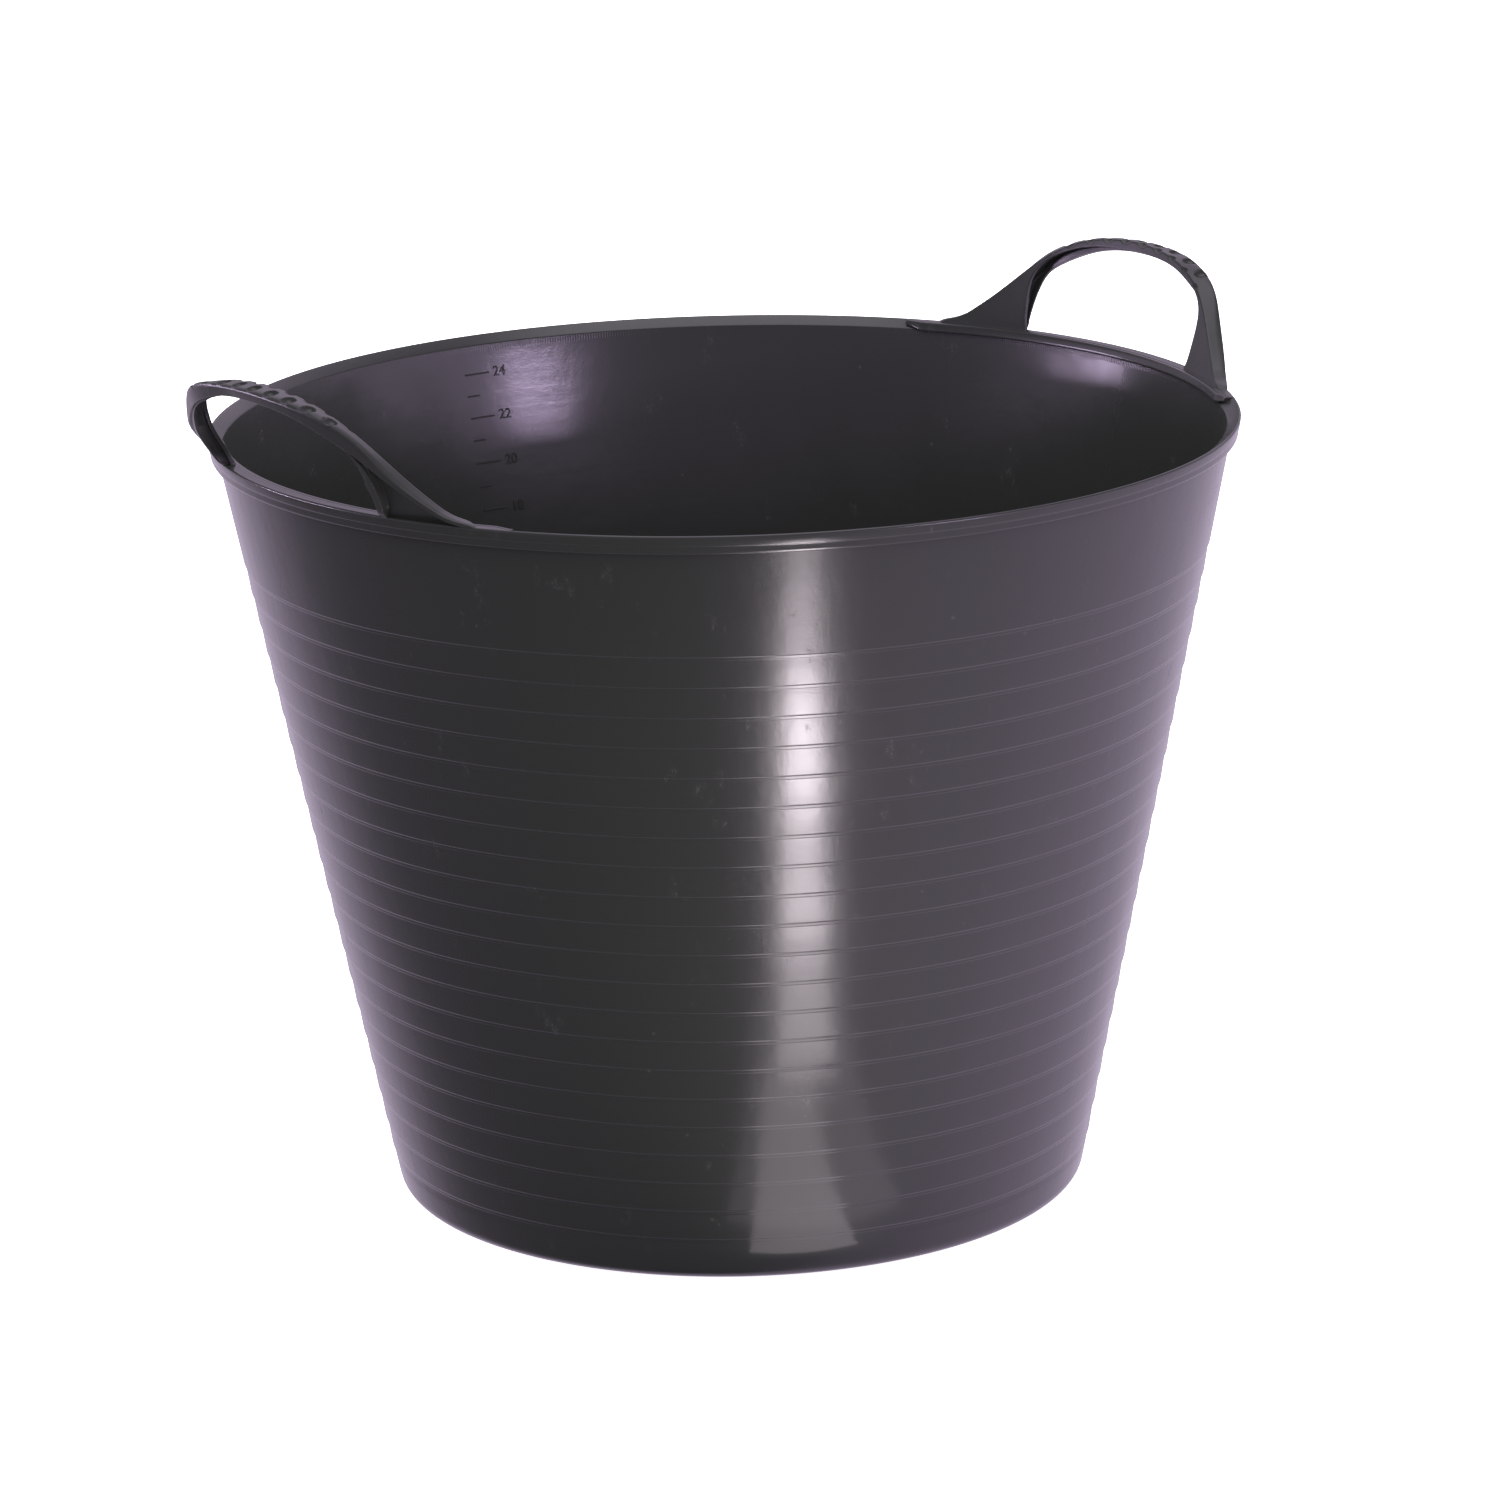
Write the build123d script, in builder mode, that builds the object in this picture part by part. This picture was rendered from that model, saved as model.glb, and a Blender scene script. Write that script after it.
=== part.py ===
from build123d import *
import os
from math import cos, degrees, pi, radians, sin, sqrt

# A flexible builder's tub for mixing mortar, 26 litres to the brim, with two loop handles.
# Millimetres, +Z up. The origin is the centre of the base, on the surface the tub stands on.
# The handles stand on the +X and -X sides of the rim. The tub is one moulding, divided here
# into its zones, so that the handles can bend and each zone can be named and changed.

# Whole tub
RIM_HEIGHT = 306.4
RIM_RADIUS = 200.0
BASE_RADIUS = 135.3  # where the outer wall's straight line meets the ground
TOP_RADIUS = 197.6  # where the same line meets the rim's height
WALL = 2.65  # measured level
FLOOR = 3.0
CORNER_RADIUS = 15.8
LIFT = 1.0  # how far the middle of the base is clear of the ground
FLOOR_EDGE_RADIUS = 112.0
FLOOR_JOIN = 3.0  # how far the outer ring of the base slopes to reach the lifted middle
CORNER_TOP = 14.0

# Rings on the outside of the wall, each a small step in as the wall goes down
RING_COUNT = 21
LOWEST_RING = 18.0
RING_PITCH = 12.0
RING_HALF_HEIGHT = 0.9
RING_STEP = 0.44
RING_STRIP_TOP = 0.4
RING_STRIP_BOTTOM = -0.6
RING_STRIP_SET_BACK = 0.08
TOP_RING = LOWEST_RING + RING_PITCH * (RING_COUNT - 1)

# Rim
LIP_FACE = 3.3
LIP_DEPTH = 7.2
LIP_EDGE = 0.6
FLARE_DEPTH = 3.8
FLARE_TOP_RADIUS = 198.9

# Thicker rim under each handle
SEAT_HALF_ANGLE = 31.5
SEAT_INNER_RADIUS = 192.6
SEAT_DEPTH = 3.6
SEAT_EDGE = 0.5

# Litre scale, raised on the inside of the wall
LITRES = range(2, 25)
MARK_START = 88.2  # degrees around from +X
LONG_MARK = 11.2
SHORT_MARK = 5.5
MARK_HEIGHT = 0.7
MARK_DEPTH = 0.35
DIGIT_HEIGHT = 4.4
DIGIT_WIDTH = 2.4
DIGIT_PITCH = 3.4
DIGIT_STROKE = 0.6
DIGIT_GAP = 2.0
DIGIT_BLANK = 1.0  # how far a digit is drawn either side of the wall, before its face is cut
MM3_PER_LITRE = 1.0e6

# Handles, drawn on a cone that leans out from the rim. Faces are measured out from the cone.
LEAN = radians(14.4)
HANDLE_RADIUS = 198.2  # of the cone at the rim's height
LOOP_FACES = (-2.4, 2.4)
CAP_FACES = (-3.2, 6.0)  # the wider top of the bar, where the hand pulls
POCKET_FACES = (-0.2, 6.0)  # cut from the outside of each foot, which leaves a thin web
CAP_DEPTH = 2.8
BEND_HEIGHT = 22.0  # above the rim; the feet bend below it
DIMPLE_COUNT = 10
DIMPLE_PITCH = 3.0  # degrees
DIMPLE_RADIUS = 3.2
DIMPLE_FACES = (-5.0, 7.8)
DIMPLE_UP = 1.6  # the dimples' centres, above the bar's top
BAR_FALL = 0.0475  # how the bar's top falls either side of its middle, per degree squared
CONE_SPAN = (-15.0, 60.0)  # how far down and up the cone is drawn, before it is cut
HANDLE_HALF_ANGLE = 30.0
# Half outlines, as degrees around from the handle's middle and height up the cone
OUTER_OUTLINE = [(0, 43.8), (8, 41.0), (12.5, 35.8), (16, 28.3), (19.4, 17), (23.2, 7), (27.3, 0)]
WINDOW_OUTLINE = [(0, 38.9), (7.7, 36.8), (13, 31.0), (15.6, 24.7), (16.1, 13.7), (15, 0)]
POCKET_OUTLINE = [(16.6, 20.5), (17.2, 1.5), (25.0, 1.5), (21.8, 7.3), (18.2, 16.0)]

SLOPE = (TOP_RADIUS - BASE_RADIUS) / RIM_HEIGHT
SLANT = sqrt(1 + SLOPE**2)

os.makedirs("parts", exist_ok=True)


def outer(z):
    """Radius of the wall's outer line at a height."""
    return BASE_RADIUS + SLOPE * z


def inner(z):
    """Radius of the wall's inner face at a height."""
    return outer(z) - WALL


def write(piece, name):
    """Label a finished piece and write its STEP file."""
    piece.part.label = name
    export_step(piece.part, f"parts/{name}.step")


def upright(angle):
    """The plane through the axis at an angle in degrees from +X: radius along, height up."""
    a = radians(angle)
    return Plane(origin=(0, 0, 0), x_dir=(cos(a), sin(a), 0), z_dir=(sin(a), -cos(a), 0))


def facing(angle):
    """The plane through the axis that faces out at an angle: across to the left, height up."""
    a = radians(angle)
    return Plane(origin=(0, 0, 0), x_dir=(-sin(a), cos(a), 0), z_dir=(cos(a), sin(a), 0))


# Base
with BuildPart() as floor:
    with BuildSketch(Plane.XY.offset(LIFT)):
        Circle(FLOOR_EDGE_RADIUS)
    extrude(amount=FLOOR)
write(floor, "floor")

with BuildPart() as corner:
    with BuildSketch(Plane.XZ) as section:
        Polygon(
            (FLOOR_EDGE_RADIUS, LIFT),
            (FLOOR_EDGE_RADIUS + FLOOR_JOIN, 0),
            (BASE_RADIUS, 0),
            (outer(CORNER_TOP), CORNER_TOP),
            (inner(CORNER_TOP), CORNER_TOP),
            (inner(FLOOR), FLOOR),
            (FLOOR_EDGE_RADIUS + FLOOR_JOIN, FLOOR),
            (FLOOR_EDGE_RADIUS, LIFT + FLOOR),
            align=None,
        )
        foot = section.vertices().sort_by_distance((BASE_RADIUS, 0, 0))[0]
        fillet(foot, CORNER_RADIUS)
        inside = section.vertices().sort_by_distance((inner(FLOOR), 0, FLOOR))[0]
        fillet(inside, CORNER_RADIUS - WALL)
    revolve(axis=Axis.Z)
write(corner, "lower_corner")

# Wall
ring_points = []
for ring in range(RING_COUNT):
    z = LOWEST_RING + RING_PITCH * ring
    for height, out in (
        (-RING_HALF_HEIGHT, -RING_STEP / 2),
        (RING_STRIP_BOTTOM, -RING_STRIP_SET_BACK),
        (RING_STRIP_TOP, -RING_STRIP_SET_BACK),
        (RING_HALF_HEIGHT, RING_STEP / 2),
    ):
        ring_points.append((outer(z + height) + out, z + height))
wall_top = TOP_RING + RING_HALF_HEIGHT
with BuildPart() as ringed_wall:
    with BuildSketch(Plane.XZ):
        Polygon(
            (outer(CORNER_TOP), CORNER_TOP),
            *ring_points,
            (inner(wall_top), wall_top),
            (inner(CORNER_TOP), CORNER_TOP),
            align=None,
        )
    revolve(axis=Axis.Z)
write(ringed_wall, "ringed_wall")

band_top = RIM_HEIGHT - LIP_DEPTH
with BuildPart() as plain_band:
    with BuildSketch(Plane.XZ):
        Polygon(
            (outer(wall_top) + RING_STEP / 2, wall_top),
            (outer(band_top), band_top),
            (inner(band_top), band_top),
            (inner(wall_top), wall_top),
            align=None,
        )
    revolve(axis=Axis.Z)
write(plain_band, "plain_band")

# Rim
flare_bottom = RIM_HEIGHT - FLARE_DEPTH
with BuildPart() as rim_lip:
    with BuildSketch(Plane.XZ):
        with BuildLine():
            under = (RIM_RADIUS - LIP_EDGE, RIM_HEIGHT - LIP_FACE - LIP_EDGE)
            wall_end = (outer(band_top), band_top)
            curve = TangentArc(wall_end, under, tangent=(SLOPE, 1))
            Polyline(
                curve @ 1,
                (RIM_RADIUS, RIM_HEIGHT - LIP_FACE),
                (RIM_RADIUS, RIM_HEIGHT - LIP_EDGE),
                (RIM_RADIUS - LIP_EDGE, RIM_HEIGHT),
                (FLARE_TOP_RADIUS, RIM_HEIGHT),
                (inner(flare_bottom), flare_bottom),
                (inner(band_top), band_top),
                wall_end,
            )
        make_face()
    revolve(axis=Axis.Z)
write(rim_lip, "rim_lip")

seat_bottom = RIM_HEIGHT - SEAT_DEPTH
flare_slope = (FLARE_TOP_RADIUS - inner(flare_bottom)) / FLARE_DEPTH
flare_at_seat = inner(flare_bottom) + flare_slope * (seat_bottom - flare_bottom)
for side, turn in (("right", 0), ("left", 180)):
    with BuildPart() as seat:
        with BuildSketch(upright(turn - SEAT_HALF_ANGLE)):
            Polygon(
                (SEAT_INNER_RADIUS, seat_bottom),
                (flare_at_seat, seat_bottom),
                (FLARE_TOP_RADIUS, RIM_HEIGHT),
                (SEAT_INNER_RADIUS + SEAT_EDGE, RIM_HEIGHT),
                (SEAT_INNER_RADIUS, RIM_HEIGHT - SEAT_EDGE),
                align=None,
            )
        revolve(axis=Axis.Z, revolution_arc=2 * SEAT_HALF_ANGLE)
    write(seat, f"{side}_handle_seat")


# Litre scale
def litre_height(litres):
    """The height of a volume in the tub, whose inside is a cone frustum on the floor."""
    at_floor = inner(LIFT + FLOOR)
    at_level = (at_floor**3 + 3 * SLOPE * litres * MM3_PER_LITRE / pi) ** (1 / 3)
    return LIFT + FLOOR + (at_level - at_floor) / SLOPE


with BuildPart() as scale_lines:
    for litres in LITRES:
        z = litre_height(litres)
        length = LONG_MARK if litres % 2 == 0 else SHORT_MARK
        arc = degrees(length / inner(z))
        low, high = z - MARK_HEIGHT / 2, z + MARK_HEIGHT / 2
        with BuildSketch(upright(MARK_START - arc)):
            Polygon(
                (inner(low), low),
                (inner(high), high),
                (inner(high) - MARK_DEPTH, high),
                (inner(low) - MARK_DEPTH, low),
                align=None,
            )
        revolve(axis=Axis.Z, revolution_arc=arc)
write(scale_lines, "litre_scale_lines")

# Each digit as strokes: across at the top, middle and bottom, and down the four sides
TOP, MIDDLE, BOTTOM, TOP_LEFT, TOP_RIGHT, LOW_LEFT, LOW_RIGHT = range(7)
STROKES = {
    "0": (TOP, BOTTOM, TOP_LEFT, TOP_RIGHT, LOW_LEFT, LOW_RIGHT),
    "1": (TOP_RIGHT, LOW_RIGHT),
    "2": (TOP, TOP_RIGHT, MIDDLE, LOW_LEFT, BOTTOM),
    "4": (TOP_LEFT, MIDDLE, TOP_RIGHT, LOW_RIGHT),
    "6": (TOP, TOP_LEFT, MIDDLE, LOW_LEFT, LOW_RIGHT, BOTTOM),
    "8": (TOP, TOP_LEFT, TOP_RIGHT, MIDDLE, LOW_LEFT, LOW_RIGHT, BOTTOM),
}


def stroke_centre_and_size(stroke):
    """Where a digit's stroke lies from the digit's centre, and how wide and tall it is."""
    half_wide, half_tall = (DIGIT_WIDTH - DIGIT_STROKE) / 2, (DIGIT_HEIGHT - DIGIT_STROKE) / 2
    if stroke in (TOP, MIDDLE, BOTTOM):
        y = {TOP: half_tall, MIDDLE: 0, BOTTOM: -half_tall}[stroke]
        return (0, y), (DIGIT_WIDTH, DIGIT_STROKE)
    x = half_wide if stroke in (TOP_RIGHT, LOW_RIGHT) else -half_wide
    y = half_tall / 2 if stroke in (TOP_LEFT, TOP_RIGHT) else -half_tall / 2
    return (x, y), (DIGIT_STROKE, half_tall + DIGIT_STROKE)


def on_wall(angle, z):
    """A plane on the wall's inner face that faces the axis, upright to a reader inside."""
    a = radians(angle)
    r = inner(z)
    return Plane(
        origin=(r * cos(a), r * sin(a), z),
        x_dir=(sin(a), -cos(a), 0),
        z_dir=(-cos(a) / SLANT, -sin(a) / SLANT, SLOPE / SLANT),
    )


with BuildPart() as scale_numbers:
    for litres in LITRES:
        if litres % 2 == 0:
            z = litre_height(litres)
            for place, digit in enumerate(str(litres)):
                along = LONG_MARK + DIGIT_GAP + DIGIT_WIDTH / 2 + DIGIT_PITCH * place
                angle = MARK_START - degrees(along / inner(z))
                with BuildSketch(on_wall(angle, z)):
                    for stroke in STROKES[digit]:
                        centre, size = stroke_centre_and_size(stroke)
                        with Locations(centre):
                            Rectangle(*size)
                extrude(amount=DIGIT_BLANK, both=True)
    with BuildSketch(Plane.XZ):
        Polygon(
            (inner(0), 0),
            (inner(RIM_HEIGHT), RIM_HEIGHT),
            (inner(RIM_HEIGHT) - MARK_DEPTH, RIM_HEIGHT),
            (inner(0) - MARK_DEPTH, 0),
            align=None,
        )
    revolve(axis=Axis.Z, mode=Mode.INTERSECT)
write(scale_numbers, "litre_scale_numbers")


# Handles
def on_cone(up, out):
    """Radius and height of a point so far up the handle's cone and so far out from it."""
    return (
        HANDLE_RADIUS + up * sin(LEAN) + out * cos(LEAN),
        RIM_HEIGHT + up * cos(LEAN) - out * sin(LEAN),
    )


def across(angle, up):
    """An outline's point as it is seen facing the handle: across and height."""
    r, z = on_cone(up, 0)
    return (r * sin(radians(angle)), z)


def arch_points(half):
    """Both halves of an outline, from one foot over the middle to the other."""
    return [across(-angle, up) for angle, up in half[:0:-1]] + [across(*p) for p in half]


def cone_shell(turn, faces):
    """The space between two faces of the cone, all along one handle."""
    inside, outside = faces
    low, high = CONE_SPAN
    with BuildPart() as shell:
        with BuildSketch(upright(turn - HANDLE_HALF_ANGLE)):
            Polygon(
                on_cone(low, inside),
                on_cone(low, outside),
                on_cone(high, outside),
                on_cone(high, inside),
                align=None,
            )
        revolve(axis=Axis.Z, revolution_arc=2 * HANDLE_HALF_ANGLE)
    return shell.part


def loop_solid(turn, faces, outline, hollow):
    """The cone between two faces, kept under one outline and over another."""
    shell = cone_shell(turn, faces)
    with BuildPart() as loop:
        add(shell)
        for half, mode in ((outline, Mode.INTERSECT), (hollow, Mode.SUBTRACT)):
            points = arch_points(half)
            with BuildSketch(facing(turn)):
                with BuildLine():
                    Spline(points)
                    Line(points[-1], points[0])
                make_face()
            extrude(amount=RIM_RADIUS * 2, mode=mode)
    return loop.part


def pocket_solid(turn, hand):
    """The recess in the outside of one foot; hand is 1 or -1, for which foot."""
    shell = cone_shell(turn, POCKET_FACES)
    with BuildPart() as pocket:
        add(shell)
        with BuildSketch(facing(turn)):
            Polygon(*[across(hand * angle, up) for angle, up in POCKET_OUTLINE], align=None)
        extrude(amount=RIM_RADIUS * 2, mode=Mode.INTERSECT)
    return pocket.part


def dimple_places(turn):
    """The centres of the thumb and finger dimples, along both edges of the bar's top."""
    places = []
    for place in range(DIMPLE_COUNT):
        angle = DIMPLE_PITCH * (place - (DIMPLE_COUNT - 1) / 2)
        up = OUTER_OUTLINE[0][1] - BAR_FALL * angle**2 + DIMPLE_UP
        around = radians(turn + angle)
        for face in DIMPLE_FACES:
            r, z = on_cone(up, face)
            places.append((r * cos(around), r * sin(around), z))
    return places


CAP_HOLLOW = [(angle, up - CAP_DEPTH) for angle, up in OUTER_OUTLINE]
bend = RIM_HEIGHT + BEND_HEIGHT
for side, turn, way in (("right", 0, 1), ("left", 180, -1)):
    loop = loop_solid(turn, LOOP_FACES, OUTER_OUTLINE, WINDOW_OUTLINE)
    cap = loop_solid(turn, CAP_FACES, OUTER_OUTLINE, CAP_HOLLOW)

    with BuildPart() as grip:
        add(loop)
        add(cap)
        with BuildSketch(Plane.XY.offset(bend)):
            Circle(RIM_RADIUS * 2)
        extrude(amount=RIM_RADIUS, mode=Mode.INTERSECT)
        with Locations(*dimple_places(turn)):
            Sphere(DIMPLE_RADIUS, mode=Mode.SUBTRACT)
    write(grip, f"{side}_handle_grip")

    for foot_name, hand in (("front", -1), ("rear", 1)):
        pocket = pocket_solid(turn, hand * way)
        with BuildPart() as foot_web:
            add(loop)
            add(pocket, mode=Mode.SUBTRACT)
            with BuildSketch(Plane.XY.offset(RIM_HEIGHT)):
                with Locations((0, hand * RIM_RADIUS)):
                    Rectangle(4 * RIM_RADIUS, 2 * RIM_RADIUS)
            extrude(amount=BEND_HEIGHT, mode=Mode.INTERSECT)
        write(foot_web, f"{side}_handle_{foot_name}_foot")
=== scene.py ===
from math import atan2, cos, pi, radians, sin, tau

import bmesh
import bpy
from mathutils import Matrix, Quaternion, Vector


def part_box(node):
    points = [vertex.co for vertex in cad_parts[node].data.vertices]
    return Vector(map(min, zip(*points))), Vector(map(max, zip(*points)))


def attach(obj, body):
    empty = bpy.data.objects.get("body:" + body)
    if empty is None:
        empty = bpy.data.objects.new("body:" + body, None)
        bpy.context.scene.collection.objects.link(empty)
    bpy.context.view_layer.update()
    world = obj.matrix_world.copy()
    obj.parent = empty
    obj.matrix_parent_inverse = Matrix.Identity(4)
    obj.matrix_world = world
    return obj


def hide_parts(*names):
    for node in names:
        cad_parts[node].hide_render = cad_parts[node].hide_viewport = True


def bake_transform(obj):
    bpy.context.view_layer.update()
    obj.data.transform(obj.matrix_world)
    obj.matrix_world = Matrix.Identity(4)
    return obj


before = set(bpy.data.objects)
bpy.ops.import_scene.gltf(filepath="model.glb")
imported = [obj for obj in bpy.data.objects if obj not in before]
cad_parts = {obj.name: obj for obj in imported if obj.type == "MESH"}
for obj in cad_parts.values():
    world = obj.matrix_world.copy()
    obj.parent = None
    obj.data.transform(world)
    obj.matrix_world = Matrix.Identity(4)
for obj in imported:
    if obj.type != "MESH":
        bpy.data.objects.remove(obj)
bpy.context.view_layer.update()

MM = 0.001

# The CAD model's zones, in millimetres. Heights and radii that the frame holds are read from it.
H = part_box("rim_lip")[1].z / MM
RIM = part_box("rim_lip")[1].x / MM
BAND_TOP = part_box("plain_band")[1].z / MM
WALL_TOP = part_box("ringed_wall")[1].z / MM
CORNER_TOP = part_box("lower_corner")[1].z / MM
FLOOR_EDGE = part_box("floor")[1].x / MM
FLOOR_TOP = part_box("floor")[1].z / MM
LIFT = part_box("floor")[0].z / MM
SEAT_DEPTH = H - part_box("right_handle_seat")[0].z / MM

# The wall's straight outer line, its thickness and its lower corner
BASE_RADIUS = 135.3
TOP_RADIUS = 197.6
SLOPE = (TOP_RADIUS - BASE_RADIUS) / H
WALL = 2.65
CORNER_RADIUS = 15.8
CORNER_REACH = 0.8215  # how far the rounding of the corner reaches along its sides, per radius
WALL_STEP = 0.22  # the wall stands out this much at its top
FLOOR_JOIN = 3.0

SEGMENTS = 360


def outer(z):
    """Radius of the wall's outer line at a height."""
    return BASE_RADIUS + SLOPE * z


def inner(z):
    """Radius of the wall's inner face at a height."""
    return outer(z) - WALL


# ---------------------------------------------------------------- mesh tools


def eased(t):
    """A smooth step from 0 to 1."""
    t = min(max(t, 0.0), 1.0)
    return t * t * (3 - 2 * t)


def rounded(corners, steps=3):
    """A closed outline, with each corner (point, radius) turned into a short curve."""
    outline = []
    count = len(corners)
    for i, (point, radius) in enumerate(corners):
        here = Vector(point)
        before = Vector(corners[i - 1][0]) - here
        after = Vector(corners[(i + 1) % count][0]) - here
        if radius <= 0:
            outline.append(here)
            continue
        start = here + before * min(radius / max(before.length, 1e-6), 0.45)
        end = here + after * min(radius / max(after.length, 1e-6), 0.45)
        for step in range(steps):
            t = step / (steps - 1)
            outline.append(start * (1 - t) ** 2 + here * 2 * t * (1 - t) + end * t**2)
    return outline


def lattice_mesh(name, rings, closed):
    """A mesh through rings of points that all have the same count. Open ends are capped."""
    mesh = bpy.data.meshes.new(name)
    points = [tuple(p * MM) for ring in rings for p in ring]
    across = len(rings[0])
    faces = []
    for i in range(len(rings) if closed else len(rings) - 1):
        j = (i + 1) % len(rings)
        for a in range(across):
            b = (a + 1) % across
            faces.append((i * across + a, i * across + b, j * across + b, j * across + a))
    if not closed:
        faces.append(tuple(range(across)))
        faces.append(tuple((len(rings) - 1) * across + a for a in range(across)))
    mesh.from_pydata(points, [], faces)
    return mesh


def revolved(name, corners, start=0.0, sweep=tau, segments=SEGMENTS, steps=3):
    """A mesh that turns an outline of (radius, height) corners about the axis."""
    outline = rounded([(Vector((r, z, 0)), radius) for r, z, radius in corners], steps)
    closed = sweep >= tau
    rings = []
    for i in range(segments if closed else segments + 1):
        a = start + sweep * i / segments
        rings.append([Vector((p.x * cos(a), p.x * sin(a), p.y)) for p in outline])
    return lattice_mesh(name, rings, closed)


def joined(name, meshes):
    """One mesh that holds several."""
    work = bmesh.new()
    for mesh in meshes:
        work.from_mesh(mesh)
        bpy.data.meshes.remove(mesh)
    whole = bpy.data.meshes.new(name)
    work.to_mesh(whole)
    work.free()
    return whole


def piece(mesh, material, nodes, sharp=32, merge=1e-6):
    """A finished piece: faces turned outwards, smooth between sharp edges, standing for nodes."""
    work = bmesh.new()
    work.from_mesh(mesh)
    bmesh.ops.remove_doubles(work, verts=work.verts, dist=merge)
    bmesh.ops.dissolve_degenerate(work, edges=work.edges, dist=merge)
    bmesh.ops.recalc_face_normals(work, faces=work.faces)
    work.to_mesh(mesh)
    work.free()
    mesh.shade_smooth()
    mesh.set_sharp_from_angle(angle=radians(sharp))
    mesh.materials.append(material)
    made = bpy.data.objects.new(mesh.name, mesh)
    bpy.context.scene.collection.objects.link(made)
    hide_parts(*nodes)
    return made


# ---------------------------------------------------------------- material


class Nodes:
    """Short calls for building one material's node tree."""

    def __init__(self, tree):
        self.tree = tree

    def node(self, kind, **settings):
        made = self.tree.nodes.new(kind)
        for key, value in settings.items():
            setattr(made, key, value)
        return made

    def link(self, source, target):
        self.tree.links.new(source, target)

    def math(self, operation, *values, clamp=False):
        made = self.node("ShaderNodeMath", operation=operation, use_clamp=clamp)
        for socket, value in zip(made.inputs, values):
            if isinstance(value, (int, float)):
                socket.default_value = value
            else:
                self.link(value, socket)
        return made.outputs[0]

    def scaled(self, vector, scale, place=(0, 0, 0)):
        made = self.node("ShaderNodeMapping")
        made.inputs["Scale"].default_value = scale
        made.inputs["Location"].default_value = place
        self.link(vector, made.inputs["Vector"])
        return made.outputs[0]

    def noise(self, vector, scale, detail=3.0, roughness=0.5):
        made = self.node("ShaderNodeTexNoise")
        made.inputs["Scale"].default_value = scale
        made.inputs["Detail"].default_value = detail
        made.inputs["Roughness"].default_value = roughness
        self.link(vector, made.inputs["Vector"])
        return made.outputs["Fac"]

    def ranged(self, value, low, high, to_low=0.0, to_high=1.0):
        made = self.node("ShaderNodeMapRange", interpolation_type="SMOOTHSTEP")
        limits = {"From Min": low, "From Max": high, "To Min": to_low, "To Max": to_high}
        for name, number in limits.items():
            made.inputs[name].default_value = number
        self.link(value, made.inputs["Value"])
        return made.outputs[0]

    def layered(self, total, layers):
        """A total with layers added on, each as (output, weight)."""
        for output, weight in layers:
            total = self.math("ADD", total, self.math("MULTIPLY", output, weight))
        return total


CHARCOAL = (0.0165, 0.0171, 0.0166, 1.0)
WORN_GREY = (0.040, 0.040, 0.041, 1.0)
VIOLET_SHEEN = (0.93, 0.86, 1.0, 1.0)
PLASTIC_IOR = 1.42
RIB_COUNT = 1100  # all round the top of the inner wall
RIB_DEPTH = 0.000015


def mould_ribs(n, split):
    """Fine upright ribbing that the mould leaves along the top of the inner wall."""
    x, y, height = (split.outputs[axis] for axis in "XYZ")
    around = n.math("ARCTAN2", y, x)
    ribs = n.math("SINE", n.math("MULTIPLY", around, RIB_COUNT))
    above = n.ranged(height, (H - 6.4) * MM, (H - 5.4) * MM)
    below = n.ranged(height, (H - 3.9) * MM, (H - 3.4) * MM, 1.0, 0.0)
    level = n.math("MULTIPLY", above, below)
    squares = n.math("ADD", n.math("POWER", x, 2.0), n.math("POWER", y, 2.0))
    radius = n.math("SQRT", squares)
    inside = n.ranged(radius, (inner(H) + 0.5) * MM, (inner(H) + 1.2) * MM, 1.0, 0.0)
    return n.math("MULTIPLY", n.math("MULTIPLY", ribs, level), n.math("MULTIPLY", inside, RIB_DEPTH))


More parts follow.
